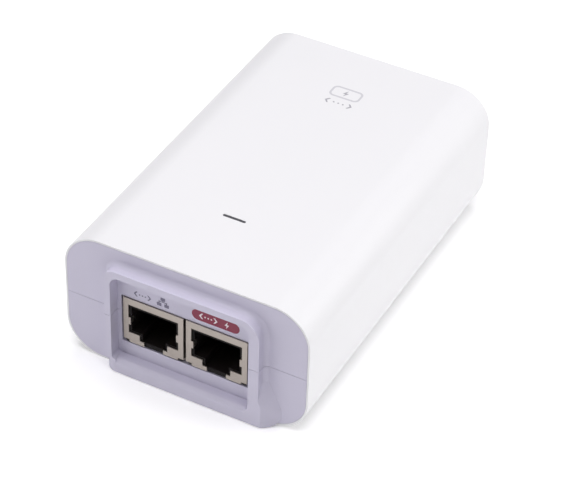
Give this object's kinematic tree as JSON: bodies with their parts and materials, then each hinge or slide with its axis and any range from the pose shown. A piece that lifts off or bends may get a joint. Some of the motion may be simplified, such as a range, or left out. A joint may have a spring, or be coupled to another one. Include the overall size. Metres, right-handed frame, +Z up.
{
  "type": "power over ethernet injector",
  "caption": "Mains-powered network power injector: rounded sleeve with shielded network jacks in a raised front frame and a three-pin mains inlet at the rear.",
  "frame": {"origin": "middle of the whole width and length, at the underside the object stands on", "axes": "-Y out of the two network jacks, +Y out of the mains inlet, +Z up, and +X to the right as seen from the front"},
  "size_m": [0.064, 0.1, 0.0353],
  "materials": {
    "white_plastic": "satin white moulding",
    "grey_plastic": "fine matt, cool light grey with a violet cast",
    "label_film": "plain satin film",
    "shield_metal": "tin-plated sheet",
    "jack_plastic": "black moulding",
    "contact_gold": "gold-plated wire",
    "inlet_plastic": "black moulding",
    "blade_metal": "nickel plate",
    "board_laminate": "green solder mask",
    "insulation_film": "milky film",
    "screw_steel": "zinc plate",
    "fuse_plastic": "brown moulding",
    "varistor_coat": "dipped blue coating",
    "thermistor_coat": "dipped dark green coating",
    "film_capacitor": "yellow moulded box",
    "ferrite": "dark sintered ferrite",
    "copper_wire": "enamelled copper",
    "chip_plastic": "black moulding compound",
    "capacitor_sleeve": "can in a dark film sleeve",
    "winding_tape": "yellow tape over the coil",
    "sink_aluminium": "plain sheet",
    "opto_plastic": "white moulding",
    "safety_capacitor": "dipped light blue coating",
    "led_lens": "clear lens",
    "light_pipe_clear": "clear bar",
    "light_window_dark": "smoked lens"
  },
  "bodies": {
    "root": {"outer_sleeve": "white_plastic", "upper_shell": "grey_plastic", "lower_shell": "grey_plastic", "rating_label": "label_film", "lan_jack_shield": "shield_metal", "lan_jack_housing": "jack_plastic", "lan_jack_contacts": "contact_gold", "poe_jack_shield": "shield_metal", "poe_jack_housing": "jack_plastic", "poe_jack_contacts": "contact_gold", "inlet_body": "inlet_plastic", "inlet_blades": "blade_metal", "circuit_board": "board_laminate", "insulation_sheet": "insulation_film", "case_screws": "screw_steel", "board_screws": "screw_steel", "mains_fuse": "fuse_plastic", "surge_varistor": "varistor_coat", "inrush_thermistor": "thermistor_coat", "x_capacitor": "film_capacitor", "choke_core": "ferrite", "choke_windings": "copper_wire", "bridge_rectifier": "chip_plastic", "bulk_capacitor": "capacitor_sleeve", "transformer_core": "ferrite", "transformer_bobbin": "jack_plastic", "transformer_winding": "winding_tape", "power_transistor": "chip_plastic", "primary_heat_sink": "sink_aluminium", "controller_chip": "chip_plastic", "optocoupler": "opto_plastic", "y_capacitor": "safety_capacitor", "output_rectifier": "chip_plastic", "output_heat_sink": "sink_aluminium", "output_capacitors": "capacitor_sleeve", "output_inductor": "ferrite", "line_transformers": "chip_plastic", "poe_controller_chip": "chip_plastic", "surge_suppressors": "chip_plastic", "status_led": "led_lens", "light_pipe": "light_pipe_clear", "light_window": "light_window_dark"}
  },
  "joints": []
}
